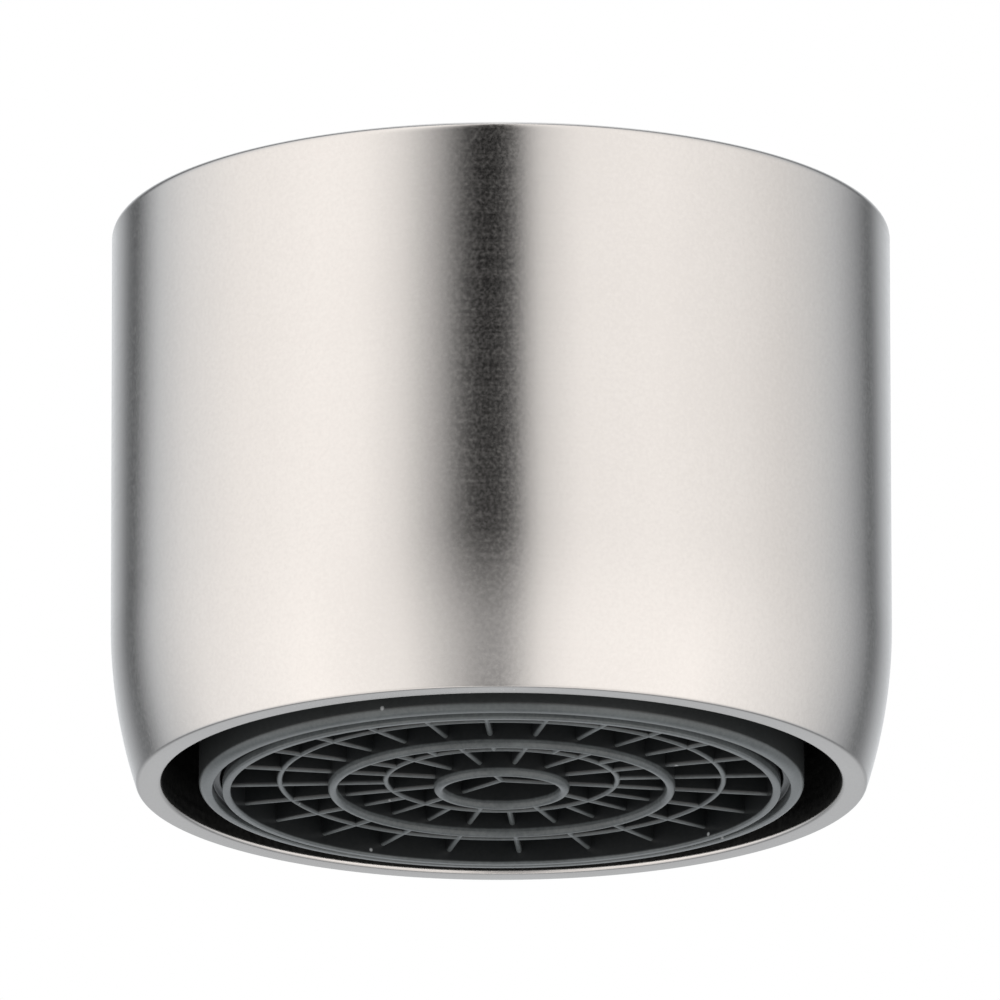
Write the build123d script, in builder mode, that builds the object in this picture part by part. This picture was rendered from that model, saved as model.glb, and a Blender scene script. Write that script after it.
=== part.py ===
from build123d import *
import math
import os

os.makedirs("parts", exist_ok=True)

# Tap aerator with a female M22 x 1 inlet thread, all sizes in millimetres.
# It stands on its outlet end: z = 0 is the plane of the grille's ring fronts, +Z runs up the axis to the tap.

# Inlet thread, bored to its minor diameter
thread_d = 22.0
thread_pitch = 1.0
thread_length = 4.1
thread_run_out = 0.2
relief_depth = 0.05

# Sleeve
sleeve_wall = 1.0
rim_edge = 0.3
lip_width = 0.765
lip_edge = 0.15
shoulder_height = 5.0
ledge_thickness = 1.0
ledge_clearance = 0.36
insert_proud = 0.25

# Cartridge body
flange_clearance = 0.16
flange_overhang = 1.01
flange_thickness = 0.8
air_gap = 1.15
collar_wall = 0.42
collar_recess = 0.07
groove_width = 0.3
groove_depth = 0.4
snap_height = 0.85
snap_lip = 0.13
chamber_wall = 1.09
chamber_height = 4.0
socket_wall = 0.54
window_count = 8
window_width = 3.2
window_height = 1.9
window_land = 0.35

# Outlet grille
stack_fit = 0.05
grille_height = 2.5
rim_ring_width = 0.26
middle_ring_width = 0.29
hub_ring_width = 0.32
hub_ring_r = 1.925
thin_ring_width = 0.2
spoke_recess = 0.35
spoke_depth = 1.6
spoke_width = 0.2
spoke_count = 24
inner_spoke_count = 12
hub_spoke_count = 3
spoke_turn = 11.25

# Mixing grids
grid_height = 1.35
grid_rim_width = 0.65
grid_bar_width = 0.6
grid_bar_depth = 0.8
grid_bar_count = 7
stack_clearance = 0.05

# Jet plate
jet_fit = 0.1
jet_rim_width = 2.15
jet_floor_thickness = 0.6
jet_gap = 0.3
jet_count = 12
jet_width = 0.6
jet_length = 1.2
jet_land = 0.3
spreader_r = 2.6
spreader_tip_r = 0.9
spreader_height = 0.9

# Flow washer
flow_seat_width = 0.8
flow_seat_depth = 0.3
flow_washer_fit = 0.1
flow_washer_thickness = 0.9
flow_orifice_r = 1.6
flow_orifice_bevel = 0.3

# Inlet strainer
strainer_rim_height = 0.8
strainer_rim_width = 1.1
sieve_shell = 0.5
sieve_room = 1.55
sieve_root = 0.25
sieve_top_r = 6.6
sieve_hole = 0.75
sieve_pitch = 1.2
sieve_rows = 9
sieve_land = 0.7

# Sealing washer
washer_thickness = 1.8
washer_overlap = 0.65
washer_sieve_gap = 0.25

# Radii, from the thread inwards
thread_minor_r = thread_d / 2 - 0.625 * math.sqrt(3) / 2 * thread_pitch
mouth_r = thread_d / 2
relief_r = thread_d / 2 + relief_depth
sleeve_r = thread_d / 2 + sleeve_wall
flange_r = thread_minor_r - flange_clearance
barrel_r = flange_r - flange_overhang
ledge_r = barrel_r + ledge_clearance
outlet_bore_r = barrel_r + air_gap
lip_r = outlet_bore_r + lip_width
collar_bore_r = barrel_r - collar_wall
rim_ring_r = collar_bore_r - groove_width
snap_r = rim_ring_r + stack_fit
stack_bore_r = snap_r + snap_lip
stack_r = stack_bore_r - stack_fit
chamber_r = barrel_r - chamber_wall
socket_r = barrel_r - socket_wall
jet_plate_r = socket_r - jet_fit
jet_recess_r = jet_plate_r - jet_rim_width
jet_floor_r = jet_recess_r - flow_seat_width
jet_circle_r = jet_floor_r - jet_land - jet_length / 2
flow_washer_r = jet_recess_r - flow_washer_fit
strainer_bore_r = jet_plate_r - strainer_rim_width
washer_bore_r = jet_plate_r - washer_overlap
sieve_r = washer_bore_r - washer_sieve_gap

# Heights, from the outlet up
lip_z = insert_proud
snap_z = groove_depth + snap_height
lower_grid_z = grille_height
upper_grid_z = lower_grid_z + grid_height
stack_stop_z = upper_grid_z + grid_height + stack_clearance
jet_ledge_z = stack_stop_z + chamber_height
jet_floor_z = jet_ledge_z + jet_floor_thickness
flow_seat_z = jet_floor_z + jet_gap
flow_top_z = flow_seat_z + flow_washer_thickness
jet_rim_z = flow_seat_z + flow_seat_depth
flange_top_z = jet_rim_z + strainer_rim_height
seat_z = flange_top_z - flange_thickness
washer_top_z = flange_top_z + washer_thickness
sieve_roof_z = flow_top_z + sieve_room
sieve_top_z = sieve_roof_z + sieve_shell
thread_z = max(washer_top_z, sieve_top_z) + thread_run_out
thread_top_z = thread_z + thread_length
rim_z = thread_top_z + mouth_r - thread_minor_r

# Sleeve: one turned profile with the rounded shoulder, the cartridge ledge and the bored thread
with BuildPart() as sleeve:
    with BuildSketch(Plane.XZ):
        with BuildLine():
            TangentArc((sleeve_r, lip_z + shoulder_height), (lip_r, lip_z), tangent=(0, -1))
            Polyline(
                (lip_r, lip_z),
                (outlet_bore_r + lip_edge, lip_z),
                (outlet_bore_r, lip_z + lip_edge),
                (outlet_bore_r, seat_z - ledge_thickness),
                (ledge_r, seat_z - ledge_thickness),
                (ledge_r, seat_z),
                (relief_r, seat_z),
                (relief_r, thread_z - (relief_r - thread_minor_r)),
                (thread_minor_r, thread_z),
                (thread_minor_r, thread_top_z),
                (mouth_r, rim_z),
                (sleeve_r - rim_edge, rim_z),
                (sleeve_r, rim_z - rim_edge),
                (sleeve_r, lip_z + shoulder_height),
            )
        make_face()
    revolve(axis=Axis.Z)
sleeve.part.label = "sleeve"
export_step(sleeve.part, "parts/sleeve.step")

# Cartridge body: flange, barrel with air windows under the jet ledge, snap bead and collar
with BuildPart() as cartridge_body:
    with BuildSketch(Plane.XZ):
        with BuildLine():
            Polyline(
                (barrel_r, collar_recess),
                (collar_bore_r, collar_recess),
                (collar_bore_r, groove_depth),
                (snap_r, groove_depth),
                (snap_r, snap_z),
                (stack_bore_r, snap_z),
                (stack_bore_r, stack_stop_z),
                (chamber_r, stack_stop_z),
                (chamber_r, jet_ledge_z),
                (socket_r, jet_ledge_z),
                (socket_r, flange_top_z),
                (flange_r, flange_top_z),
                (flange_r, seat_z),
                (barrel_r, seat_z),
                close=True,
            )
        make_face()
    revolve(axis=Axis.Z)
    with BuildSketch(Plane.XY.offset(jet_ledge_z - window_land - window_height)):
        with PolarLocations((chamber_r + barrel_r) / 2, window_count):
            Rectangle(2 * chamber_wall, window_width)
    extrude(amount=window_height, mode=Mode.SUBTRACT)
cartridge_body.part.label = "cartridge_body"
export_step(cartridge_body.part, "parts/cartridge_body.step")

# Outlet grille: bold rings, with thin rings and spokes set back between them
ring_step = (rim_ring_r - rim_ring_width / 2 - hub_ring_r) / 4
inner_thin_r = hub_ring_r + ring_step
middle_ring_r = hub_ring_r + 2 * ring_step
outer_thin_r = hub_ring_r + 3 * ring_step
rim_mid_r = hub_ring_r + 4 * ring_step
spoke_top_z = spoke_recess + spoke_depth
bold_rings = (
    (hub_ring_r, hub_ring_width, spoke_top_z),
    (middle_ring_r, middle_ring_width, spoke_top_z),
    (rim_mid_r, rim_ring_width, grille_height),
)
spoke_runs = (
    (hub_spoke_count, 0, hub_ring_r),
    (inner_spoke_count, hub_ring_r, inner_thin_r),
    (spoke_count, inner_thin_r, rim_mid_r),
)
with BuildPart() as outlet_grille:
    with BuildSketch(Plane.XZ):
        for ring_r, ring_width, ring_height in bold_rings:
            with Locations((ring_r, ring_height / 2)):
                Rectangle(ring_width, ring_height)
    revolve(axis=Axis.Z)
    with BuildSketch(Plane.XY.offset(snap_z)):
        Circle(stack_r)
        Circle(rim_mid_r, mode=Mode.SUBTRACT)
    extrude(amount=grille_height - snap_z)
    with BuildSketch(Plane.XY.offset(spoke_recess)):
        for ring_r in (outer_thin_r, inner_thin_r):
            Circle(ring_r + thin_ring_width / 2)
            Circle(ring_r - thin_ring_width / 2, mode=Mode.SUBTRACT)
        for count, start_r, end_r in spoke_runs:
            with PolarLocations((start_r + end_r) / 2, count, start_angle=spoke_turn):
                Rectangle(end_r - start_r, spoke_width)
        Circle(spoke_width / 2)
    extrude(amount=spoke_depth)
outlet_grille.part.label = "outlet_grille"
export_step(outlet_grille.part, "parts/outlet_grille.step")

# Mixing grids: two alike, stacked on the grille's rim, the upper one turned so that its bars cross the lower's
grid_places = (
    ("mixing_grid_lower", lower_grid_z, 0),
    ("mixing_grid_upper", upper_grid_z, 90),
)
grid_bore_r = stack_r - grid_rim_width
grid_bar_pitch = 2 * grid_bore_r / (grid_bar_count + 1)
for grid_name, grid_z, grid_turn in grid_places:
    grid_plane = Plane.XY.offset(grid_z).rotated((0, 0, grid_turn))
    with BuildPart() as mixing_grid:
        with BuildSketch(grid_plane):
            Circle(stack_r)
            Circle(grid_bore_r, mode=Mode.SUBTRACT)
        extrude(amount=grid_height)
        with BuildSketch(grid_plane.offset(grid_height - grid_bar_depth)):
            with GridLocations(0, grid_bar_pitch, 1, grid_bar_count):
                Rectangle(2 * stack_r, grid_bar_width)
            Circle(stack_r - grid_rim_width / 2, mode=Mode.INTERSECT)
        extrude(amount=grid_bar_depth)
    mixing_grid.part.label = grid_name
    export_step(mixing_grid.part, f"parts/{grid_name}.step")

# Jet plate: a stepped dish on the cartridge's ledge, with a ring of jets round a blunt spreader cone
with BuildPart() as jet_plate:
    with BuildSketch(Plane.XZ):
        with BuildLine():
            Polyline(
                (0, jet_ledge_z - spreader_height),
                (spreader_tip_r, jet_ledge_z - spreader_height),
                (spreader_r, jet_ledge_z),
                (jet_plate_r, jet_ledge_z),
                (jet_plate_r, jet_rim_z),
                (jet_recess_r, jet_rim_z),
                (jet_recess_r, flow_seat_z),
                (jet_floor_r, flow_seat_z),
                (jet_floor_r, jet_floor_z),
                (0, jet_floor_z),
                close=True,
            )
        make_face()
    revolve(axis=Axis.Z)
    with BuildSketch(Plane.XY.offset(jet_ledge_z)):
        with PolarLocations(jet_circle_r, jet_count):
            Rectangle(jet_length, jet_width)
    extrude(amount=jet_floor_thickness, mode=Mode.SUBTRACT)
jet_plate.part.label = "jet_plate"
export_step(jet_plate.part, "parts/jet_plate.step")

# Flow washer: a soft disc on the dish's step, its bevelled orifice narrows as the pressure bends it
with BuildPart() as flow_washer:
    with BuildSketch(Plane.XZ):
        with BuildLine():
            Polyline(
                (flow_orifice_r, flow_seat_z),
                (flow_washer_r, flow_seat_z),
                (flow_washer_r, flow_top_z),
                (flow_orifice_r + flow_orifice_bevel, flow_top_z),
                (flow_orifice_r, flow_top_z - flow_orifice_bevel),
                close=True,
            )
        make_face()
    revolve(axis=Axis.Z)
flow_washer.part.label = "flow_washer"
export_step(flow_washer.part, "parts/flow_washer.step")

# Inlet strainer: a low hat with a sieve of square holes, its rim lies on the jet plate, flush with the flange
sieve_lines = [(row - (sieve_rows - 1) / 2) * sieve_pitch for row in range(sieve_rows)]
sieve_reach = sieve_top_r - sieve_shell - sieve_land
sieve_places = [(x, y) for x in sieve_lines for y in sieve_lines if math.hypot(x, y) < sieve_reach]
with BuildPart() as inlet_strainer:
    with BuildSketch(Plane.XZ):
        with BuildLine():
            Polyline(
                (0, sieve_top_z),
                (sieve_top_r, sieve_top_z),
                (sieve_r, flange_top_z),
                (jet_plate_r, flange_top_z),
                (jet_plate_r, jet_rim_z),
                (strainer_bore_r, jet_rim_z),
                (strainer_bore_r, flange_top_z - sieve_root),
                (sieve_top_r - sieve_shell, sieve_roof_z),
                (0, sieve_roof_z),
                close=True,
            )
        make_face()
    revolve(axis=Axis.Z)
    with BuildSketch(Plane.XY.offset(sieve_roof_z)):
        with Locations(*sieve_places):
            Rectangle(sieve_hole, sieve_hole)
    extrude(amount=sieve_shell, mode=Mode.SUBTRACT)
inlet_strainer.part.label = "inlet_strainer"
export_step(inlet_strainer.part, "parts/inlet_strainer.step")

# Sealing washer: lies on the flange and holds the strainer's rim down
with BuildPart() as sealing_washer:
    with BuildSketch(Plane.XY.offset(flange_top_z)):
        Circle(flange_r)
        Circle(washer_bore_r, mode=Mode.SUBTRACT)
    extrude(amount=washer_thickness)
sealing_washer.part.label = "sealing_washer"
export_step(sealing_washer.part, "parts/sealing_washer.step")
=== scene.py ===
import bpy
import bmesh
import math
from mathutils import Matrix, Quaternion, Vector


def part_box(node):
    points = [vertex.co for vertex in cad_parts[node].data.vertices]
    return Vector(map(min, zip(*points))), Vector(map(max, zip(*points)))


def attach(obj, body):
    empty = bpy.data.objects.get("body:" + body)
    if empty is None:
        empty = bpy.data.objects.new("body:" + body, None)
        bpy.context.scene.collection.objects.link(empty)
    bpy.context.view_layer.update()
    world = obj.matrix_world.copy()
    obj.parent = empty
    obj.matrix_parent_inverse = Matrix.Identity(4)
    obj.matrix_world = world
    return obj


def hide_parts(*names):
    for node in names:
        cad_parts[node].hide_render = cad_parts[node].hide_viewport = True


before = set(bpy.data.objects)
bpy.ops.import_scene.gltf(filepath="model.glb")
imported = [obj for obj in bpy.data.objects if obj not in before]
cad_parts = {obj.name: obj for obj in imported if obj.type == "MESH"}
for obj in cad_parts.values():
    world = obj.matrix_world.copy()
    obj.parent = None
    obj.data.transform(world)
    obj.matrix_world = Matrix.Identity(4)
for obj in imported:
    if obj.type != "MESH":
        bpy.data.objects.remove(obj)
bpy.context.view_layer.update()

mm = 0.001  # the dictionaries below are in millimetres and degrees
roundSegments = 240  # facets round the turned pieces
poleRadius = 1e-6  # a profile point nearer to the axis is a pole
noiseRange = (0.3, 0.7)  # most of a noise lies between these levels
scene = bpy.context.scene
print("frame loaded:", ", ".join(sorted(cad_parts)))


# outer radius, bottom and top of a CAD node
def nodeSize(name):
    low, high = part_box(name)
    return high.x / mm, low.z / mm, high.z / mm


# a node of any tree; a value that is a socket is linked, any other is set
def addNode(tree, kind, inputs=None, **settings):
    made = tree.nodes.new(kind)
    for name, value in settings.items():
        setattr(made, name, value)
    for name, value in (inputs or {}).items():
        if isinstance(value, bpy.types.NodeSocket):
            tree.links.new(value, made.inputs[name])
        else:
            made.inputs[name].default_value = value
    return made


def mathNode(tree, operation, *values):
    return addNode(tree, "ShaderNodeMath", dict(enumerate(values)), operation=operation).outputs[0]


# shader groups

def newGroup(name, kind, inputs, outputs):
    tree = bpy.data.node_groups.new(name, kind)
    for socketName, socketType, value in inputs:
        socket = tree.interface.new_socket(socketName, in_out="INPUT", socket_type=socketType)
        if value is not None:
            socket.default_value = value
    for socketName, socketType in outputs:
        tree.interface.new_socket(socketName, in_out="OUTPUT", socket_type=socketType)
    return tree, addNode(tree, "NodeGroupInput").outputs, addNode(tree, "NodeGroupOutput")


# lathe lines that run round the axis, and the dull specks of a blasted finish
def turnedGrainGroup():
    tree, given, out = newGroup("turnedGrain", "ShaderNodeTree", [
        ("Line Scale", "NodeSocketFloat", 9000.0),
        ("Line Length", "NodeSocketFloat", 120.0),
        ("Speck Scale", "NodeSocketFloat", 9000.0),
        ("Wave Scale", "NodeSocketFloat", 2500.0),
        ("Line Share", "NodeSocketFloat", 0.5),
    ], [("Tone", "NodeSocketFloat"), ("Height", "NodeSocketFloat"), ("Cloud", "NodeSocketFloat"),
        ("Specks", "NodeSocketFloat")])
    place = addNode(tree, "ShaderNodeTexCoord").outputs["Object"]
    cleanLevel, dullLevel = 0.3, 0.75  # of the fine noise
    cloudScale = 160.0
    stretch = addNode(tree, "ShaderNodeCombineXYZ", {
        "X": given["Line Length"], "Y": given["Line Length"], "Z": given["Line Scale"]})
    along = addNode(tree, "ShaderNodeVectorMath", {0: place, 1: stretch.outputs[0]}, operation="MULTIPLY")
    lines = addNode(tree, "ShaderNodeTexNoise", {
        "Vector": along.outputs[0], "Scale": 1.0, "Detail": 2.0, "Roughness": 0.6}).outputs[0]
    fine = addNode(tree, "ShaderNodeTexNoise", {
        "Vector": place, "Scale": given["Speck Scale"], "Detail": 2.0, "Roughness": 0.6}).outputs[0]
    specks = addNode(tree, "ShaderNodeMapRange", {
        "Value": fine, "From Min": cleanLevel, "From Max": dullLevel,
        "To Min": 0.0, "To Max": 1.0}).outputs[0]
    waves = addNode(tree, "ShaderNodeTexNoise", {
        "Vector": place, "Scale": given["Wave Scale"], "Detail": 3.0, "Roughness": 0.7}).outputs[0]
    cloud = addNode(tree, "ShaderNodeTexNoise", {
        "Vector": place, "Scale": cloudScale, "Detail": 3.0, "Roughness": 0.55}).outputs[0]
    height = addNode(tree, "ShaderNodeMix", {0: given["Line Share"], 2: waves, 3: lines}).outputs[0]
    tree.links.new(lines, out.inputs["Tone"])
    tree.links.new(height, out.inputs["Height"])
    tree.links.new(cloud, out.inputs["Cloud"])
    tree.links.new(specks, out.inputs["Specks"])
    return tree


# moulded skin of plastic and rubber: a fine spark-eroded texture, slow flow clouds and dust specks
def mouldedSkinGroup():
    tree, given, out = newGroup("mouldedSkin", "ShaderNodeTree", [
        ("Grain Scale", "NodeSocketFloat", 7000.0),
        ("Cloud Scale", "NodeSocketFloat", 300.0),
        ("Speck Scale", "NodeSocketFloat", 900.0),
    ], [("Tone", "NodeSocketFloat"), ("Height", "NodeSocketFloat"), ("Specks", "NodeSocketFloat")])
    place = addNode(tree, "ShaderNodeTexCoord").outputs["Object"]
    grain = addNode(tree, "ShaderNodeTexNoise", {
        "Vector": place, "Scale": given["Grain Scale"], "Detail": 2.0, "Roughness": 0.55}).outputs[0]
    cloud = addNode(tree, "ShaderNodeTexNoise", {
        "Vector": place, "Scale": given["Cloud Scale"], "Detail": 3.0, "Roughness": 0.5}).outputs[0]
    cells = addNode(tree, "ShaderNodeTexVoronoi", {
        "Vector": place, "Scale": given["Speck Scale"], "Randomness": 1.0}).outputs["Distance"]
    speckEdge, speckCore = 0.06, 0.03  # from a cell's middle, in cells
    specks = addNode(tree, "ShaderNodeMapRange", {
        "Value": cells, "From Min": speckEdge, "From Max": speckCore,
        "To Min": 0.0, "To Max": 1.0}).outputs[0]
    grainShare = 0.4  # of the tone; the clouds have the rest
    tone = addNode(tree, "ShaderNodeMix", {0: grainShare, 2: cloud, 3: grain}).outputs[0]
    tree.links.new(tone, out.inputs["Tone"])
    tree.links.new(grain, out.inputs["Height"])
    tree.links.new(specks, out.inputs["Specks"])
    return tree


# painted light on the bar fronts and painted shade on the walls behind them, told by how far a point lies
# behind its front's level
def paintedFrontLightGroup():
    tree, given, out = newGroup("paintedFrontLight", "ShaderNodeTree", [
        ("Start", "NodeSocketFloat", 0.0002),
        ("End", "NodeSocketFloat", 0.0005),
    ], [("Mask", "NodeSocketFloat")])
    place = addNode(tree, "ShaderNodeTexCoord").outputs["Object"]
    height = addNode(tree, "ShaderNodeSeparateXYZ", {0: place}).outputs["Z"]
    front = addNode(tree, "ShaderNodeAttribute", attribute_name="frontLevel").outputs["Fac"]
    behind = mathNode(tree, "SUBTRACT", height, front)
    patchScale = 1500.0
    wander = 0.04 * mm  # of the band's edge
    patch = addNode(tree, "ShaderNodeTexNoise", {
        "Vector": place, "Scale": patchScale, "Detail": 2.0, "Roughness": 0.5}).outputs[0]
    uneven = mathNode(tree, "MULTIPLY_ADD", mathNode(tree, "SUBTRACT", patch, 0.5), wander, behind)
    mask = addNode(tree, "ShaderNodeMapRange", {
        "Value": uneven, "From Min": given["End"], "From Max": given["Start"], "To Min": 0.0, "To Max": 1.0,
    }, interpolation_type="SMOOTHSTEP").outputs[0]
    tree.links.new(mask, out.inputs["Mask"])
    return tree


turnedGrain = turnedGrainGroup()
mouldedSkin = mouldedSkinGroup()
paintedFrontLight = paintedFrontLightGroup()


# materials

def newMaterial(name):
    material = bpy.data.materials.new(name)
    material.use_nodes = True
    return material, material.node_tree, material.node_tree.nodes["Principled BSDF"]


def spread(tree, value, low, high):
    return addNode(tree, "ShaderNodeMapRange", {
        "Value": value, "From Min": noiseRange[0], "From Max": noiseRange[1],
        "To Min": low, "To Max": high}).outputs[0]


def blendColours(tree, factor, first, second):
    return addNode(tree, "ShaderNodeMix", {0: factor, 6: first, 7: second}, data_type="RGBA").outputs[2]


def metalMaterial(name, look):
    material, tree, shader = newMaterial(name)
    grain = addNode(tree, "ShaderNodeGroup", look["grain"], node_tree=turnedGrain).outputs
    # half clouds, half specks
    mottle = addNode(tree, "ShaderNodeMix", {0: 0.5, 2: grain["Cloud"], 3: grain["Specks"]}).outputs[0]
    colour = blendColours(tree, spread(tree, mottle, 0.0, 1.0), look["dark"], look["light"])
    tree.links.new(colour, shader.inputs["Base Color"])
    even = spread(tree, grain["Tone"], *look["roughness"])
    dulled = mathNode(tree, "MULTIPLY_ADD", grain["Specks"], look["dullness"], even)
    tree.links.new(dulled, shader.inputs["Roughness"])
    bump = addNode(tree, "ShaderNodeBump", {
        "Strength": look["bump"], "Distance": look["bumpDepth"] * mm, "Height": grain["Height"]})
    tree.links.new(bump.outputs[0], shader.inputs["Normal"])
    shader.inputs["Metallic"].default_value = 1.0
    return material


def mouldedMaterial(name, look):
    material, tree, shader = newMaterial(name)
    skin = addNode(tree, "ShaderNodeGroup", look["skin"], node_tree=mouldedSkin).outputs
    tone = spread(tree, skin["Tone"], 0.0, 1.0)
    colour = blendColours(tree, tone, look["dark"], look["light"])
    if "front" in look:
        # painted light and shade: the fronts get the lighter front colours, and the walls behind them keep
        # the dark colours as painted shade
        paintedLightMask = addNode(tree, "ShaderNodeGroup", look["frontReach"], node_tree=paintedFrontLight).outputs["Mask"]
        paintedLitColour = blendColours(tree, tone, look["front"], look["frontLight"])
        colour = blendColours(tree, paintedLightMask, colour, paintedLitColour)
        shader.inputs["Coat Weight"].default_value = look["gloss"]
        shader.inputs["Coat Roughness"].default_value = look["polish"]
        colour = blendColours(tree, skin["Specks"], colour, look["dust"])
    tree.links.new(colour, shader.inputs["Base Color"])
    tree.links.new(spread(tree, skin["Tone"], *look["roughness"]), shader.inputs["Roughness"])
    bump = addNode(tree, "ShaderNodeBump", {
        "Strength": look["bump"], "Distance": look["bumpDepth"] * mm, "Height": skin["Height"]})
    tree.links.new(bump.outputs[0], shader.inputs["Normal"])
    shader.inputs["Specular IOR Level"].default_value = look["specular"]
    return material


# meshes

# rounds the corners of a closed profile given as (radius, height, rounding)
def roundedProfile(corners, steps=6):
    points = []
    for i, (r, z, rounding) in enumerate(corners):
        here = Vector((r, z))
        if not rounding:
            points.append(here)
            continue
        back = (Vector(corners[i - 1][:2]) - here).normalized()
        on = (Vector(corners[(i + 1) % len(corners)][:2]) - here).normalized()
        half = back.angle(on) / 2
        centre = here + (back + on).normalized() * rounding / math.sin(half)
        first = here + back * rounding / math.tan(half) - centre
        last = here + on * rounding / math.tan(half) - centre
        turn = first.angle_signed(last)
        for step in range(steps + 1):
            angle = -turn * step / steps
            points.append(centre + Vector((
                first.x * math.cos(angle) - first.y * math.sin(angle),
                first.x * math.sin(angle) + first.y * math.cos(angle))))
    return points


# turns a closed profile round the axis, poles closed
def lathe(name, profile, segments=roundSegments):
    shape = bmesh.new()
    rings = []
    for r, z in profile:
        if r < poleRadius:
            rings.append([shape.verts.new((0, 0, z * mm))] * segments)
            continue
        angles = [2 * math.pi * s / segments for s in range(segments)]
        rings.append([shape.verts.new((r * mm * math.cos(a), r * mm * math.sin(a), z * mm)) for a in angles])
    for ring, nextRing in zip(rings, rings[1:] + rings[:1]):
        for s in range(segments):
            t = (s + 1) % segments
            corners = list(dict.fromkeys((ring[s], ring[t], nextRing[t], nextRing[s])))
            if len(corners) > 2:
                shape.faces.new(corners)
    bmesh.ops.recalc_face_normals(shape, faces=shape.faces)
    mesh = bpy.data.meshes.new(name)
    shape.to_mesh(mesh)
    shape.free()
    piece = bpy.data.objects.new(name, mesh)
    scene.collection.objects.link(piece)
    return piece


# runs a Geometry Nodes tree on a piece and keeps its result as a plain mesh
def applyTree(piece, tree, values):
    modifier = piece.modifiers.new(tree.name, "NODES")
    modifier.node_group = tree
    for item in tree.interface.items_tree:
        if item.in_out == "INPUT" and item.name in values:
            modifier[item.identifier] = values[item.name]
    evaluated = piece.evaluated_get(bpy.context.evaluated_depsgraph_get())
    mesh = bpy.data.meshes.new_from_object(evaluated)
    piece.modifiers.remove(modifier)
    mesh.materials.clear()
    mesh.materials.append(values["Material"])
    for face in mesh.polygons:
        face.material_index = 0
    plain = piece.data
    piece.data = mesh
    bpy.data.meshes.remove(plain)
    mesh.name = piece.name


# smooth shading with crisp edges, then its place in the frame
def finishPiece(piece, sharpAngle, slotName, *nodes):
    for face in piece.data.polygons:
        face.use_smooth = True
    piece.data.set_sharp_from_angle(angle=math.radians(sharpAngle))
    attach(piece, "root")
    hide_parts(*nodes)
    print(piece.name, "made:", sum(len(face.vertices) - 2 for face in piece.data.polygons), "triangles")


def newTree(name, inputs):
    return newGroup(
        name, "GeometryNodeTree",
        [("Geometry", "NodeSocketGeometry", None)] + inputs + [("Material", "NodeSocketMaterial", None)],
        [("Geometry", "NodeSocketGeometry")])


def endTree(tree, given, out, shape):
    plain = addNode(tree, "GeometryNodeRealizeInstances", {0: shape})
    painted = addNode(tree, "GeometryNodeSetMaterial", {
        "Geometry": plain.outputs[0], "Material": given["Material"]})
    tree.links.new(painted.outputs[0], out.inputs[0])


# notes on each face the level of the front it belongs to, from which its painted shade is measured
def markPaintedShadeLevel(tree, shape, front):
    return addNode(tree, "GeometryNodeStoreNamedAttribute", {
        "Geometry": shape, "Name": "frontLevel", "Value": front}, data_type="FLOAT", domain="FACE").outputs[0]


# copies of a shape turned round the axis
def copiesRound(tree, shape, count, turn):
    points = addNode(tree, "GeometryNodePoints", {"Count": count})
    index = addNode(tree, "GeometryNodeInputIndex").outputs[0]
    step = mathNode(tree, "DIVIDE", 2 * math.pi, count)
    spin = addNode(tree, "ShaderNodeCombineXYZ", {"Z": mathNode(tree, "MULTIPLY_ADD", index, step, turn)})
    copies = addNode(tree, "GeometryNodeInstanceOnPoints", {
        "Points": points.outputs[0], "Instance": shape, "Rotation": spin.outputs[0]})
    return addNode(tree, "GeometryNodeRealizeInstances", {0: copies.outputs[0]}).outputs[0]


# sleeve

sleeveR, sleeveBottom, sleeveTop = nodeSize("sleeve")
sleeveSize = {
    "outer": sleeveR,
    "shoulder": 5.0,  # height of the rounded lower end
    "lip": 0.765,
    "lipRound": 0.12,
    "lipEdge": 0.12,
    "brightBore": 0.35,  # the finish runs this far in over the lip
    "bore": 10.4387,
    "ledge": 9.6487,
    "ledgeBottom": 9.45,
    "ledgeTop": 10.45,
    "relief": 11.05,
    "threadBottom": 13.3,
    "threadMinor": 10.4587,
    "threadMajor": 11.0,
    "pitch": 1.0,
    "threadLead": 0.6,  # the groove runs this many pitches past both ends
    "threadSteps": 120,
    "rimRound": 0.3,
    "edge": 0.05,
    "threadEdge": 0.03,
    "mouthEdge": 0.06,
    "arcSteps": 24,
    "reliefMargin": 0.01,  # margins where two finishes meet
    "rimMargin": 0.02,
    "lipMargin": 0.05,
    "sharpAngle": 28,
}
satinGrain = {
    "Line Scale": 9000.0, "Line Length": 120.0, "Line Share": 0.04,
    "Speck Scale": 8500.0, "Wave Scale": 2500.0,
}
nickelLook = {
    "dark": (0.789, 0.754, 0.727, 1), "light": (0.829, 0.795, 0.767, 1),
    "roughness": (0.10, 0.13), "dullness": 0.1, "bump": 0.3, "bumpDepth": 0.003, "grain": satinGrain,
}
lipLook = {
    "dark": (0.785, 0.75, 0.722, 1), "light": (0.83, 0.796, 0.768, 1),
    "roughness": (0.22, 0.26), "dullness": 0.03, "bump": 0.2, "bumpDepth": 0.003, "grain": satinGrain,
}
threadLook = {
    "dark": (0.42, 0.41, 0.385, 1), "light": (0.52, 0.51, 0.48, 1),
    "roughness": (0.26, 0.36), "dullness": 0.1, "bump": 0.4, "bumpDepth": 0.01,
    "grain": {"Line Scale": 6000.0, "Line Length": 80.0, "Speck Scale": 9000.0, "Line Share": 0.7},
}
# a near-black bore: painted shade inside the sleeve, beyond the bright finish that runs in over the lip
paintedShadeBoreLook = {
    "dark": (0.035, 0.035, 0.034, 1), "light": (0.06, 0.06, 0.058, 1),
    "roughness": (0.42, 0.6), "dullness": 0.1, "bump": 0.5, "bumpDepth": 0.02,
    "grain": {"Line Scale": 5000.0, "Line Length": 60.0, "Speck Scale": 6000.0, "Line Share": 0.8},
}


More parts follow.
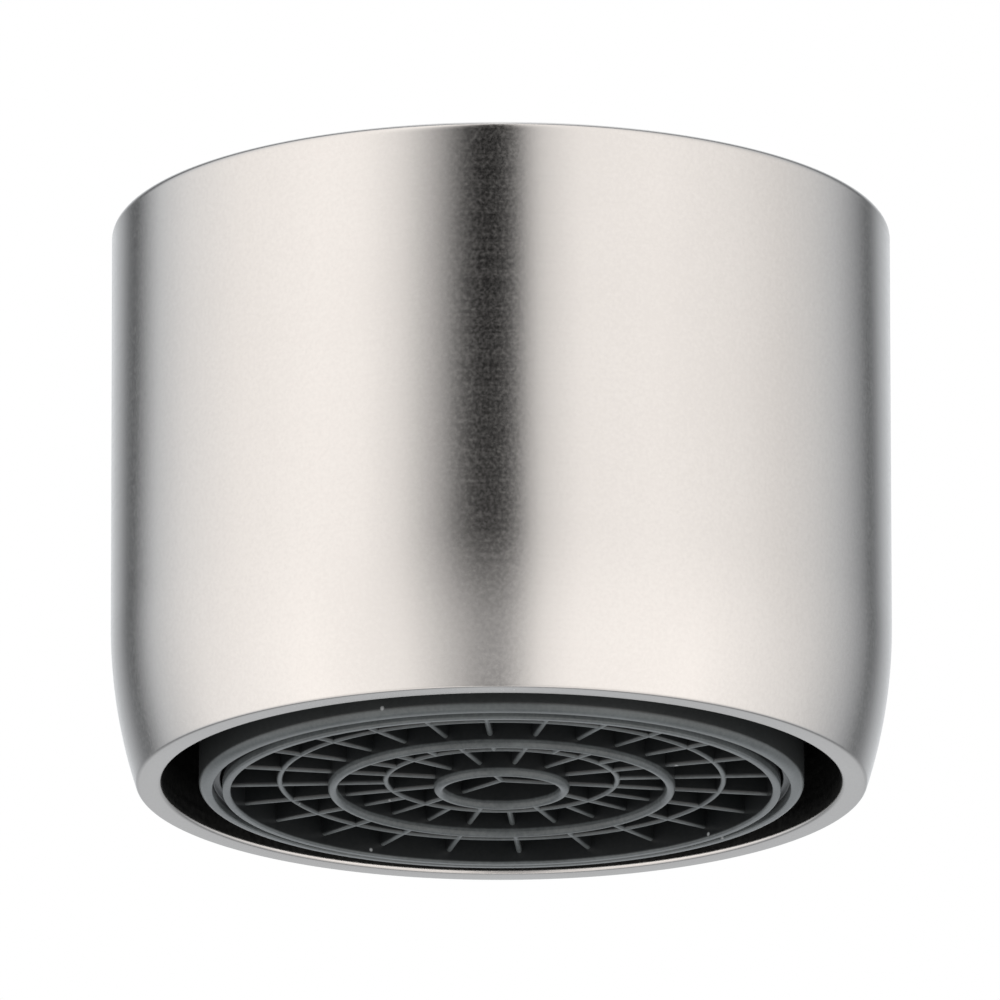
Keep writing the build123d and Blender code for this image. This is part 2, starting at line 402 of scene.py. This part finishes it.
def sleeveProfile(size):
    lipR = size["bore"] + size["lip"]
    drop = size["outer"] - lipR
    arcR = (size["shoulder"] ** 2 + drop ** 2) / (2 * drop)
    arcSpan = math.asin(size["shoulder"] / arcR)
    mouthDepth = size["threadMajor"] - size["threadMinor"]
    reliefTop = size["threadBottom"] - (size["relief"] - size["threadMinor"])
    shoulder = []
    for step in range(size["arcSteps"] + 1):
        angle = arcSpan * step / size["arcSteps"]
        shoulder.append((
            size["outer"] - arcR * (1 - math.cos(angle)),
            sleeveBottom + size["shoulder"] - arcR * math.sin(angle), 0))
    shoulder[-1] = (lipR, sleeveBottom, size["lipEdge"])
    return roundedProfile(shoulder + [
        (size["bore"], sleeveBottom, size["lipRound"]),
        (size["bore"], size["ledgeBottom"], 0),
        (size["ledge"], size["ledgeBottom"], size["edge"]),
        (size["ledge"], size["ledgeTop"], size["edge"]),
        (size["relief"], size["ledgeTop"], size["edge"]),
        (size["relief"], reliefTop, size["edge"]),
        (size["threadMinor"], size["threadBottom"], size["threadEdge"]),
        (size["threadMinor"], sleeveTop - mouthDepth, size["threadEdge"]),
        (size["threadMajor"], sleeveTop, size["mouthEdge"]),
        (size["outer"], sleeveTop, size["rimRound"]),
    ])


# a helical groove with 30 degree flanks, cut from the relief up through the mouth
def threadTree():
    tree, given, out = newTree("inletThread", [
        ("Minor Radius", "NodeSocketFloat", 0.01), ("Major Radius", "NodeSocketFloat", 0.011),
        ("Pitch", "NodeSocketFloat", 0.001), ("Bottom", "NodeSocketFloat", 0.013),
        ("Turns", "NodeSocketFloat", 6.0), ("Steps", "NodeSocketInt", 96)])
    overcutShare, rootShare = 0.15, 0.125  # of the pitch
    flankSlope = 2 * math.tan(math.radians(30))
    overcut = mathNode(tree, "MULTIPLY", given["Pitch"], overcutShare)
    inner = mathNode(tree, "SUBTRACT", given["Minor Radius"], overcut)
    depth = mathNode(tree, "SUBTRACT", given["Major Radius"], inner)
    root = mathNode(tree, "MULTIPLY", given["Pitch"], rootShare)
    mouth = mathNode(tree, "MULTIPLY_ADD", depth, flankSlope, root)
    middle = mathNode(tree, "MULTIPLY_ADD", depth, 0.5, inner)
    path = addNode(tree, "GeometryNodeCurveSpiral", {
        "Resolution": given["Steps"], "Rotations": given["Turns"],
        "Start Radius": middle, "End Radius": middle,
        "Height": mathNode(tree, "MULTIPLY", given["Pitch"], given["Turns"]), "Reverse": True})
    upright = addNode(tree, "GeometryNodeSetCurveNormal", {"Curve": path.outputs[0]}, mode="Z_UP")
    section = addNode(tree, "GeometryNodeCurvePrimitiveQuadrilateral", {
        "Bottom Width": mouth, "Top Width": root, "Height": depth, "Offset": 0.0}, mode="TRAPEZOID")
    outward = addNode(tree, "GeometryNodeTransform", {
        "Geometry": section.outputs[0], "Rotation": (0, 0, -math.pi / 2)})
    groove = addNode(tree, "GeometryNodeCurveToMesh", {
        "Curve": upright.outputs[0], "Profile Curve": outward.outputs[0], "Fill Caps": True})
    lift = addNode(tree, "ShaderNodeCombineXYZ", {"Z": given["Bottom"]})
    cutter = addNode(tree, "GeometryNodeTransform", {
        "Geometry": groove.outputs[0], "Translation": lift.outputs[0]})
    cut = addNode(tree, "GeometryNodeMeshBoolean", {
        "Mesh 1": given["Geometry"], "Mesh 2": cutter.outputs[0]}, operation="DIFFERENCE", solver="MANIFOLD")
    endTree(tree, given, out, cut.outputs[0])
    return tree


def makeSleeve(size):
    satinNickel = metalMaterial("satinNickel", nickelLook)
    paintedShadeBore = metalMaterial("paintedShadeBore", paintedShadeBoreLook)
    sleeve = lathe("sleeveTurned", sleeveProfile(size))
    applyTree(sleeve, threadTree(), {
        "Minor Radius": size["threadMinor"] * mm, "Major Radius": size["threadMajor"] * mm,
        "Pitch": size["pitch"] * mm,
        "Bottom": (size["threadBottom"] - size["threadLead"] * size["pitch"]) * mm,
        "Turns": (sleeveTop - size["threadBottom"]) / size["pitch"] + 2 * size["threadLead"],
        "Steps": size["threadSteps"], "Material": satinNickel})
    sleeve.data.materials.append(paintedShadeBore)
    sleeve.data.materials.append(metalMaterial("threadNickel", threadLook))
    sleeve.data.materials.append(metalMaterial("lipNickel", lipLook))
    paintedShadeSlot, threadSlot, lipSlot = 1, 2, 3
    insideR = size["relief"] + size["reliefMargin"]
    lipR = size["bore"] + size["lip"] - size["lipMargin"]
    brightTop = sleeveBottom + size["brightBore"]
    for face in sleeve.data.polygons:
        radius = math.hypot(face.center.x, face.center.y) / mm
        height = face.center.z / mm
        # bore faces below the ledge get the painted-shade colour, and faces above it get the thread finish
        if radius < insideR and brightTop < height < sleeveTop - size["rimMargin"]:
            face.material_index = paintedShadeSlot if height < size["ledgeTop"] else threadSlot
        elif height < brightTop and radius < lipR:
            face.material_index = lipSlot
    finishPiece(sleeve, size["sharpAngle"], "satin_nickel", "sleeve")


makeSleeve(sleeveSize)


# cartridge body

flangeR, cartridgeBottom, cartridgeTop = nodeSize("cartridge_body")
cartridgeSize = {
    "flange": flangeR,
    "barrel": 9.2887,
    "collarBore": 8.8687,
    "collarRound": 0.26,
    "grooveRound": 0.05,
    "groove": 0.4,
    "snapBore": 8.6187,
    "snapTop": 1.25,
    "stackBore": 8.7487,
    "stackTop": 5.25,
    "chamber": 8.1987,
    "ledge": 9.25,
    "socket": 8.7487,
    "flangeBottom": 10.45,
    "windows": 8,
    "windowWidth": 3.2,
    "windowBottom": 7.0,
    "windowHeight": 1.9,
    "edge": 0.05,
    "flangeRound": 0.08,
    "flangeTopRound": 0.1,
    "sharpAngle": 28,
}
# the dark colours are painted shade on the walls; the front colours are painted light on the collar front,
# reaching this far behind it
cartridgeLook = {
    "dark": (0.032, 0.035, 0.036, 1), "light": (0.048, 0.052, 0.053, 1),
    "front": (0.094, 0.104, 0.107, 1), "frontLight": (0.160, 0.177, 0.181, 1),
    "frontReach": {"Start": 0.15 * mm, "End": 0.24 * mm}, "polish": 0.24, "gloss": 0.85,
    "roughness": (0.4, 0.5), "bump": 0.25, "bumpDepth": 0.01, "specular": 0.15, "dust": (0.5, 0.52, 0.53, 1),
    "skin": {"Grain Scale": 7000.0, "Cloud Scale": 300.0, "Speck Scale": 700.0},
}


def cartridgeProfile(size):
    return roundedProfile([
        (size["barrel"], cartridgeBottom, size["collarRound"]),
        (size["collarBore"], cartridgeBottom, size["grooveRound"]),
        (size["collarBore"], size["groove"], size["grooveRound"]),
        (size["snapBore"], size["groove"], size["grooveRound"]),
        (size["snapBore"], size["snapTop"], size["edge"]),
        (size["stackBore"], size["snapTop"], 0),
        (size["stackBore"], size["stackTop"], 0),
        (size["chamber"], size["stackTop"], size["edge"]),
        (size["chamber"], size["ledge"], size["edge"]),
        (size["socket"], size["ledge"], 0),
        (size["socket"], cartridgeTop, size["flangeRound"]),
        (size["flange"], cartridgeTop, size["flangeTopRound"]),
        (size["flange"], size["flangeBottom"], size["flangeRound"]),
        (size["barrel"], size["flangeBottom"], 0),
    ])


# air windows through the barrel
def windowTree():
    tree, given, out = newTree("airWindows", [
        ("Count", "NodeSocketInt", 8), ("Width", "NodeSocketFloat", 0.003),
        ("Height", "NodeSocketFloat", 0.002), ("Depth", "NodeSocketFloat", 0.002),
        ("Radius", "NodeSocketFloat", 0.009), ("Level", "NodeSocketFloat", 0.008),
        ("Front", "NodeSocketFloat", 0.0)])
    size = addNode(tree, "ShaderNodeCombineXYZ", {
        "X": given["Depth"], "Y": given["Width"], "Z": given["Height"]})
    block = addNode(tree, "GeometryNodeMeshCube", {"Size": size.outputs[0]})
    place = addNode(tree, "ShaderNodeCombineXYZ", {"X": given["Radius"], "Z": given["Level"]})
    moved = addNode(tree, "GeometryNodeTransform", {
        "Geometry": block.outputs[0], "Translation": place.outputs[0]})
    cut = addNode(tree, "GeometryNodeMeshBoolean", {
        "Mesh 1": given["Geometry"],
        "Mesh 2": copiesRound(tree, moved.outputs[0], given["Count"], 0.0),
    }, operation="DIFFERENCE", solver="MANIFOLD")
    endTree(tree, given, out, markPaintedShadeLevel(tree, cut.outputs[0], given["Front"]))
    return tree


def makeCartridge(size):
    cartridge = lathe("cartridgeMoulded", cartridgeProfile(size))
    applyTree(cartridge, windowTree(), {
        "Count": size["windows"], "Width": size["windowWidth"] * mm, "Height": size["windowHeight"] * mm,
        "Depth": 2 * (size["barrel"] - size["chamber"]) * mm,
        "Radius": (size["barrel"] + size["chamber"]) / 2 * mm,
        "Level": (size["windowBottom"] + size["windowHeight"] / 2) * mm, "Front": cartridgeBottom * mm,
        "Material": mouldedMaterial("cartridgePlastic", cartridgeLook)})
    finishPiece(cartridge, size["sharpAngle"], "cartridge_plastic", "cartridge_body")


makeCartridge(cartridgeSize)


# outlet grille

grilleR, grilleBottom, grilleTop = nodeSize("outlet_grille")
grilleSize = {
    "seat": grilleR,
    "seatBottom": 1.25,
    "rim": 8.5687,
    "rimWidth": 0.26,
    "middleWidth": 0.29,
    "hubWidth": 0.32,
    "hub": 1.925,
    "thinWidth": 0.2,
    "rimRound": 0.07,
    "noseStretch": 1.2,  # the roundings are this much longer along the depth
    "recess": 0.35,  # thin rings and spokes stand this far behind the bold fronts
    "depth": 1.6,
    "spokes": 24,
    "hubSpokes": 3,
    "turn": 11.25,
    "ringSteps": 144,
    "edge": 0.05,
    "seatRound": 0.04,
    "sharpAngle": 40,
}
# the dark colours are painted shade on the walls; the front colours are painted light on the bar fronts,
# reaching this far behind them
grilleLook = {
    "dark": (0.011, 0.013, 0.014, 1), "light": (0.019, 0.021, 0.022, 1),
    "front": (0.083, 0.092, 0.095, 1), "frontLight": (0.163, 0.180, 0.185, 1),
    "frontReach": {"Start": 0.19 * mm, "End": 0.27 * mm}, "polish": 0.24, "gloss": 0.85,
    "roughness": (0.4, 0.5), "bump": 0.2, "bumpDepth": 0.01, "specular": 0.15, "dust": (0.5, 0.52, 0.53, 1),
    "skin": {"Grain Scale": 8000.0, "Cloud Scale": 400.0, "Speck Scale": 750.0},
}


# the rim, with its seat ring behind the joint groove
def grilleRim(size):
    inner = size["rim"] - size["rimWidth"]
    return lathe("grilleMoulded", roundedProfile([
        (size["rim"], grilleBottom, size["rimRound"]),
        (inner, grilleBottom, size["rimRound"]),
        (inner, grilleTop, size["edge"]),
        (size["seat"], grilleTop, size["edge"]),
        (size["seat"], size["seatBottom"], size["seatRound"]),
        (size["rim"], size["seatBottom"], 0),
    ]))


# rings and spokes are bars of one rounded section swept along circles and straight runs
def grilleTree():
    tree, given, out = newTree("outletGrille", [
        ("Hub Radius", "NodeSocketFloat", 0.002), ("Ring Step", "NodeSocketFloat", 0.0016),
        ("Hub Width", "NodeSocketFloat", 0.0003), ("Middle Width", "NodeSocketFloat", 0.0003),
        ("Thin Width", "NodeSocketFloat", 0.0002), ("Recess", "NodeSocketFloat", 0.0004),
        ("Depth", "NodeSocketFloat", 0.0016), ("Front", "NodeSocketFloat", 0.0),
        ("Spokes", "NodeSocketInt", 24), ("Hub Spokes", "NodeSocketInt", 3),
        ("Turn", "NodeSocketFloat", 0.0), ("Ring Steps", "NodeSocketInt", 160),
        ("Nose Stretch", "NodeSocketFloat", 1.0)])

    cornerShare, cornerSteps = 0.46, 5  # rounding over width
    # the painted front light reaches less far behind narrow bars and behind the rim's inner wall, so more of
    # them is painted shade
    narrowShadeShift = -2.1  # narrower bars are grey on less of their depth
    rimShadeShift = 0.55  # and so is the rim's inner wall, in widths of the middle ring

    def bar(path, width, front, back):
        height = mathNode(tree, "SUBTRACT", back, front)
        section = addNode(tree, "GeometryNodeCurvePrimitiveQuadrilateral", {
            "Width": width, "Height": mathNode(tree, "DIVIDE", height, given["Nose Stretch"])})
        soft = addNode(tree, "GeometryNodeFilletCurve", {
            "Curve": section.outputs[0], "Count": cornerSteps,
            "Radius": mathNode(tree, "MULTIPLY", width, cornerShare)}, mode="POLY")
        stretch = addNode(tree, "ShaderNodeCombineXYZ", {"X": 1.0, "Y": given["Nose Stretch"], "Z": 1.0})
        long = addNode(tree, "GeometryNodeTransform", {
            "Geometry": soft.outputs[0], "Scale": stretch.outputs[0]})
        upright = addNode(tree, "GeometryNodeSetCurveNormal", {"Curve": path}, mode="Z_UP")
        swept = addNode(tree, "GeometryNodeCurveToMesh", {
            "Curve": upright.outputs[0], "Profile Curve": long.outputs[0], "Fill Caps": True})
        middle = mathNode(tree, "MULTIPLY_ADD", height, 0.5, front)
        level = addNode(tree, "ShaderNodeCombineXYZ", {"Z": middle})
        placed = addNode(tree, "GeometryNodeTransform", {
            "Geometry": swept.outputs[0], "Translation": level.outputs[0]}).outputs[0]
        narrowness = mathNode(tree, "MAXIMUM", mathNode(tree, "SUBTRACT", given["Middle Width"], width), 0.0)
        return markPaintedShadeLevel(tree, placed, mathNode(tree, "MULTIPLY_ADD", narrowness, narrowShadeShift, front))

    def ringRadius(steps):
        return mathNode(tree, "MULTIPLY_ADD", given["Ring Step"], float(steps), given["Hub Radius"])

    def ring(steps, width, front):
        path = addNode(tree, "GeometryNodeCurvePrimitiveCircle", {
            "Resolution": given["Ring Steps"], "Radius": ringRadius(steps)})
        return bar(path.outputs[0], width, front, back)

    def spokeRow(count, start, end):
        first = addNode(tree, "ShaderNodeCombineXYZ", {"X": start})
        last = addNode(tree, "ShaderNodeCombineXYZ", {"X": end})
        path = addNode(tree, "GeometryNodeCurvePrimitiveLine", {
            "Start": first.outputs[0], "End": last.outputs[0]})
        spoke = bar(path.outputs[0], given["Thin Width"], recessed, back)
        return copiesRound(tree, spoke, count, given["Turn"])

    recessed = mathNode(tree, "ADD", given["Front"], given["Recess"])
    back = mathNode(tree, "ADD", recessed, given["Depth"])
    halfCount = mathNode(tree, "DIVIDE", given["Spokes"], 2.0)
    shapes = [
        ring(0, given["Hub Width"], given["Front"]),
        ring(1, given["Thin Width"], recessed),
        ring(2, given["Middle Width"], given["Front"]),
        ring(3, given["Thin Width"], recessed),
        spokeRow(given["Hub Spokes"], 0.0, ringRadius(0)),
        spokeRow(halfCount, ringRadius(0), ringRadius(1)),
        spokeRow(given["Spokes"], ringRadius(1), ringRadius(4)),
    ]
    joined = addNode(tree, "GeometryNodeMeshBoolean", {
        "Self Intersection": True}, operation="UNION", solver="EXACT")
    place = addNode(tree, "GeometryNodeInputPosition").outputs[0]
    flat = addNode(tree, "ShaderNodeVectorMath", {0: place, 1: (1, 1, 0)}, operation="MULTIPLY").outputs[0]
    fromAxis = addNode(tree, "ShaderNodeVectorMath", {0: flat}, operation="LENGTH").outputs["Value"]
    # faces inside the rim start their painted shade nearer the front
    inside = mathNode(tree, "LESS_THAN", fromAxis, ringRadius(4))
    shade = mathNode(tree, "MULTIPLY", given["Middle Width"], rimShadeShift)
    rimLevel = mathNode(tree, "SUBTRACT", given["Front"], mathNode(tree, "MULTIPLY", inside, shade))
    for shape in shapes + [markPaintedShadeLevel(tree, given["Geometry"], rimLevel)]:
        tree.links.new(shape, joined.inputs["Mesh 2"])
    endTree(tree, given, out, joined.outputs[0])
    return tree


def makeGrille(size):
    grille = grilleRim(size)
    rimMiddle = size["rim"] - size["rimWidth"] / 2
    applyTree(grille, grilleTree(), {
        "Hub Radius": size["hub"] * mm, "Ring Step": (rimMiddle - size["hub"]) / 4 * mm,
        "Hub Width": size["hubWidth"] * mm, "Middle Width": size["middleWidth"] * mm,
        "Thin Width": size["thinWidth"] * mm, "Recess": size["recess"] * mm, "Depth": size["depth"] * mm,
        "Front": grilleBottom * mm, "Spokes": size["spokes"], "Hub Spokes": size["hubSpokes"],
        "Turn": math.radians(size["turn"]), "Ring Steps": size["ringSteps"],
        "Nose Stretch": size["noseStretch"],
        "Material": mouldedMaterial("grillePlastic", grilleLook)})
    finishPiece(grille, size["sharpAngle"], "grille_plastic", "outlet_grille")


makeGrille(grilleSize)


# inlet strainer

strainerR, strainerBottom, strainerTop = nodeSize("inlet_strainer")
strainerSize = {
    "outer": strainerR,
    "bore": 7.5487,
    "rimTop": cartridgeTop,
    "foot": 7.7487,
    "crown": 6.6,
    "shell": 0.5,
    "root": 0.25,
    "holePitch": 1.2,
    "hole": 0.75,
    "holeReach": 5.4,  # to the middles of the outer holes
    "holeRows": 9,
    "punchDepth": 3,  # in shells
    "crownRound": 0.25,
    "footRound": 0.15,
    "innerRound": 0.12,
    "rimRound": 0.08,
    "edge": 0.05,
    "segments": 160,
    "sharpAngle": 30,
}
strainerLook = {
    "dark": (0.30, 0.31, 0.31, 1), "light": (0.42, 0.43, 0.43, 1),
    "roughness": (0.4, 0.55), "bump": 0.2, "bumpDepth": 0.01, "specular": 0.5,
    "skin": {"Grain Scale": 6000.0, "Cloud Scale": 250.0, "Speck Scale": 800.0},
}


def strainerProfile(size):
    return roundedProfile([
        (0, strainerTop, 0),
        (size["crown"], strainerTop, size["crownRound"]),
        (size["foot"], size["rimTop"], size["footRound"]),
        (size["outer"], size["rimTop"], size["rimRound"]),
        (size["outer"], strainerBottom, size["edge"]),
        (size["bore"], strainerBottom, size["edge"]),
        (size["bore"], size["rimTop"] - size["root"], size["footRound"]),
        (size["crown"] - size["shell"], strainerTop - size["shell"], size["innerRound"]),
        (0, strainerTop - size["shell"], 0),
    ])


# square sieve holes on a square pitch, straight down through the hat
def sieveTree():
    tree, given, out = newTree("sieveHoles", [
        ("Pitch", "NodeSocketFloat", 0.0007), ("Hole", "NodeSocketFloat", 0.0005),
        ("Rows", "NodeSocketInt", 19), ("Reach", "NodeSocketFloat", 0.007),
        ("Level", "NodeSocketFloat", 0.012), ("Depth", "NodeSocketFloat", 0.004)])
    span = mathNode(tree, "MULTIPLY", mathNode(tree, "SUBTRACT", given["Rows"], 1.0), given["Pitch"])
    grid = addNode(tree, "GeometryNodeMeshGrid", {
        "Size X": span, "Size Y": span, "Vertices X": given["Rows"], "Vertices Y": given["Rows"]})
    place = addNode(tree, "GeometryNodeInputPosition").outputs[0]
    fromAxis = addNode(tree, "ShaderNodeVectorMath", {0: place}, operation="LENGTH").outputs["Value"]
    outside = addNode(tree, "FunctionNodeCompare", {0: fromAxis, 1: given["Reach"]}, operation="GREATER_THAN")
    kept = addNode(tree, "GeometryNodeDeleteGeometry", {
        "Geometry": grid.outputs[0], "Selection": outside.outputs[0]}, domain="POINT")
    size = addNode(tree, "ShaderNodeCombineXYZ", {
        "X": given["Hole"], "Y": given["Hole"], "Z": given["Depth"]})
    punch = addNode(tree, "GeometryNodeMeshCube", {"Size": size.outputs[0]})
    punches = addNode(tree, "GeometryNodeInstanceOnPoints", {
        "Points": kept.outputs[0], "Instance": punch.outputs[0]})
    plain = addNode(tree, "GeometryNodeRealizeInstances", {0: punches.outputs[0]})
    level = addNode(tree, "ShaderNodeCombineXYZ", {"Z": given["Level"]})
    moved = addNode(tree, "GeometryNodeTransform", {
        "Geometry": plain.outputs[0], "Translation": level.outputs[0]})
    cut = addNode(tree, "GeometryNodeMeshBoolean", {
        "Mesh 1": given["Geometry"], "Mesh 2": moved.outputs[0]}, operation="DIFFERENCE", solver="MANIFOLD")
    endTree(tree, given, out, cut.outputs[0])
    return tree


def makeStrainer(size):
    strainer = lathe("strainerMoulded", strainerProfile(size), size["segments"])
    depth = size["punchDepth"] * size["shell"]
    applyTree(strainer, sieveTree(), {
        "Pitch": size["holePitch"] * mm, "Hole": size["hole"] * mm, "Rows": size["holeRows"],
        "Reach": size["holeReach"] * mm, "Level": (strainerTop - size["shell"] / 2) * mm, "Depth": depth * mm,
        "Material": mouldedMaterial("sievePlastic", strainerLook)})
    finishPiece(strainer, size["sharpAngle"], "sieve_plastic", "inlet_strainer")


makeStrainer(strainerSize)


# sealing washer

washerR, washerBottom, washerTop = nodeSize("sealing_washer")
washerSize = {
    "outer": washerR,
    "bore": 7.9987,
    "round": 0.18,
    "sharpAngle": 40,
}
washerLook = {
    "dark": (0.013, 0.013, 0.013, 1), "light": (0.030, 0.029, 0.028, 1),
    "roughness": (0.55, 0.75), "bump": 0.35, "bumpDepth": 0.02, "specular": 0.35,
    "skin": {"Grain Scale": 5000.0, "Cloud Scale": 220.0, "Speck Scale": 1300.0},
}


def makeWasher(size):
    washer = lathe("washerRubber", roundedProfile([
        (size["outer"], washerBottom, size["round"]),
        (size["outer"], washerTop, size["round"]),
        (size["bore"], washerTop, size["round"]),
        (size["bore"], washerBottom, size["round"]),
    ]))
    washer.data.materials.append(mouldedMaterial("sealRubber", washerLook))
    finishPiece(washer, size["sharpAngle"], "washer_rubber", "sealing_washer")


makeWasher(washerSize)


# pieces inside that keep their CAD shapes

innerLooks = {
    "jet_plate": {
        "dark": (0.42, 0.43, 0.42, 1), "light": (0.55, 0.55, 0.53, 1),
        "roughness": (0.4, 0.55), "bump": 0.2, "bumpDepth": 0.01, "specular": 0.5,
        "skin": {"Grain Scale": 6000.0, "Cloud Scale": 250.0, "Speck Scale": 800.0},
    },
    "flow_washer": {
        "dark": (0.012, 0.012, 0.012, 1), "light": (0.026, 0.026, 0.026, 1),
        "roughness": (0.5, 0.7), "bump": 0.3, "bumpDepth": 0.02, "specular": 0.35,
        "skin": {"Grain Scale": 5000.0, "Cloud Scale": 220.0, "Speck Scale": 1300.0},
    },
    "mixing_grid_upper": {
        "dark": (0.012, 0.014, 0.014, 1), "light": (0.022, 0.024, 0.024, 1),
        "roughness": (0.38, 0.5), "bump": 0.2, "bumpDepth": 0.01, "specular": 0.5,
        "skin": {"Grain Scale": 7000.0, "Cloud Scale": 300.0, "Speck Scale": 900.0},
    },
}
innerLooks["mixing_grid_lower"] = innerLooks["mixing_grid_upper"]
for nodeName, look in innerLooks.items():
    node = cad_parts[nodeName]
    node.data.materials.clear()
    node.data.materials.append(mouldedMaterial(nodeName + "Finish", look))
    print(nodeName, "keeps its CAD shape")


# stage, light and camera

floorLook = {
    "half": 1500.0,
    "gap": 0.05,  # just under the grille's ring fronts
    "tone": (0.86, 0.86, 0.85, 1),
    "paperScale": 40.0,
    "roughness": (0.75, 0.85),
    "specular": 0.2,
}


# one-sided, so that the camera can look up at the outlet from under it
def makeFloor(look):
    half = look["half"] * mm
    mesh = bpy.data.meshes.new("studioFloor")
    corners = [(-half, -half, 0), (half, -half, 0), (half, half, 0), (-half, half, 0)]
    mesh.from_pydata(corners, [], [(0, 1, 2, 3)])
    floor = bpy.data.objects.new("studioFloor", mesh)
    scene.collection.objects.link(floor)
    floor.location.z = -look["gap"] * mm
    material, tree, shader = newMaterial("paleFloor")
    place = addNode(tree, "ShaderNodeTexCoord").outputs["Object"]
    paper = addNode(tree, "ShaderNodeTexNoise", {
        "Vector": place, "Scale": look["paperScale"], "Detail": 3.0}).outputs[0]
    tree.links.new(spread(tree, paper, *look["roughness"]), shader.inputs["Roughness"])
    shader.inputs["Base Color"].default_value = look["tone"]
    shader.inputs["Specular IOR Level"].default_value = look["specular"]
    clear = addNode(tree, "ShaderNodeBsdfTransparent")
    under = addNode(tree, "ShaderNodeNewGeometry").outputs["Backfacing"]
    oneSided = addNode(tree, "ShaderNodeMixShader", {0: under, 1: shader.outputs[0], 2: clear.outputs[0]})
    tree.links.new(oneSided.outputs[0], tree.nodes["Material Output"].inputs["Surface"])
    mesh.materials.append(material)
    for ray in ("diffuse", "glossy", "transmission", "shadow", "volume_scatter"):
        setattr(floor, "visible_" + ray, False)


makeFloor(floorLook)

# brightness of the studio round the object as (degrees from the camera, level),
# in a high and a low band
studioLook = {
    "high": [
        (-180, 0.95), (-165, 0.65), (-153, 0.38), (-146, 0.16), (-140, 0.11), (-134, 0.28), (-124, 0.62),
        (-108, 0.82), (-84, 0.98), (-56, 1.08), (-42, 1.06), (-30, 0.86), (-18, 0.39), (-12, 0.10),
        (-7, 0.01), (0, 0.01), (4, 0.09), (8, 0.46), (12, 0.75), (24, 0.99), (48, 1.02), (75, 0.91),
        (91, 0.79), (106, 0.69), (119, 0.56), (132, 0.33), (141, 0.13), (146, 0.20), (154, 0.45),
        (166, 0.68), (180, 0.95),
    ],
    "low": [
        (-180, 0.55), (-160, 0.42), (-139, 0.20), (-126, 0.55), (-100, 0.95), (-60, 1.15), (-30, 0.98),
        (-16, 0.60), (-6, 0.33), (0, 0.33), (5, 0.55), (12, 0.92), (22, 1.08), (60, 1.14), (100, 0.82),
        (127, 0.45), (139, 0.20), (160, 0.42), (180, 0.55),
    ],
    "warmth": 0.03,
    "warmFrom": 0.4,  # brighter levels are warm and darker ones cool
    "coolness": 0.045,
    "coolFrom": 95,  # degrees from the camera
    "coolOver": 30,
    "lowBand": (0.36, -0.22),  # heights of view where the low band starts and is full
    "deepBand": (-0.4, -0.8),
    "deep": 0.8,  # share of the low band that is left straight below
    "backdrop": (1.0, 1.0, 1.0, 1),
}


# grey levels round the horizon, a touch warm where they are bright and cool behind the object
def skyBand(tree, turn, levels, look):
    ramp = addNode(tree, "ShaderNodeValToRGB", {0: turn})
    stops = ramp.color_ramp.elements
    stops.remove(stops[-1])
    for number, (degrees, level) in enumerate(levels):
        stop = stops[0] if number == 0 else stops.new(degrees / 360 + 0.5)
        stop.position = degrees / 360 + 0.5
        behind = min(1, max(0, (abs(degrees) - look["coolFrom"]) / look["coolOver"]))
        warm = look["warmth"] * (level - look["warmFrom"]) - look["coolness"] * behind
        stop.color = (level * (1 + warm), level, level * (1 - warm), 1)
    return ramp.outputs[0]


def makeStudio(look):
    world = bpy.data.worlds.new("studio")
    scene.world = world
    world.use_nodes = True
    tree = world.node_tree
    tree.nodes.clear()
    view = addNode(tree, "ShaderNodeTexCoord").outputs["Generated"]
    way = addNode(tree, "ShaderNodeSeparateXYZ", {0: view}).outputs
    angle = mathNode(tree, "ARCTAN2", way["X"], mathNode(tree, "MULTIPLY", way["Y"], -1.0))
    turn = mathNode(tree, "MULTIPLY_ADD", angle, 1 / (2 * math.pi), 0.5)
    lowStart, lowFull = look["lowBand"]
    lower = addNode(tree, "ShaderNodeMapRange", {
        "Value": way["Z"], "From Min": lowStart, "From Max": lowFull, "To Min": 0.0, "To Max": 1.0,
    }, interpolation_type="SMOOTHSTEP").outputs[0]
    bands = [skyBand(tree, turn, look[name], look) for name in ("high", "low")]
    sky = blendColours(tree, lower, *bands)
    deepStart, deepFull = look["deepBand"]
    depth = addNode(tree, "ShaderNodeMapRange", {
        "Value": way["Z"], "From Min": deepFull, "From Max": deepStart,
        "To Min": look["deep"], "To Max": 1.0}).outputs[0]
    light = addNode(tree, "ShaderNodeBackground", {"Color": sky, "Strength": depth})
    white = addNode(tree, "ShaderNodeBackground", {"Color": look["backdrop"]})
    seen = addNode(tree, "ShaderNodeLightPath").outputs["Is Camera Ray"]
    both = addNode(tree, "ShaderNodeMixShader", {0: seen, 1: light.outputs[0], 2: white.outputs[0]})
    addNode(tree, "ShaderNodeOutputWorld", {"Surface": both.outputs[0]})
    scene.view_settings.view_transform = "Standard"


makeStudio(studioLook)

cameraSetup = {
    "rise": -16.011,  # below the object, looking up at the outlet
    "distance": 778.15,
    "aim": (-0.0375, 0.0, 9.347),
    "roll": -0.07,
    "focus": 25.2871,  # focal length in widths of the image
    "sensor": 36.0,
    "clipStart": 10.0,
}


def makeCamera(setup):
    rise = math.radians(setup["rise"])
    aim = Vector(setup["aim"]) * mm
    back = Vector((0, -math.cos(rise), math.sin(rise)))
    lens = bpy.data.cameras.new("photoCamera")
    lens.sensor_width = setup["sensor"]
    lens.lens = setup["sensor"] * setup["focus"]
    lens.clip_start = setup["clipStart"] * mm
    camera = bpy.data.objects.new("photoCamera", lens)
    scene.collection.objects.link(camera)
    camera.location = aim + back * setup["distance"] * mm
    camera.rotation_mode = "QUATERNION"
    roll = Quaternion((0, 0, 1), math.radians(setup["roll"]))
    camera.rotation_quaternion = (-back).to_track_quat("-Z", "Y") @ roll
    scene.camera = camera


makeCamera(cameraSetup)
print("stage, light and camera set")

bpy.context.view_layer.update()
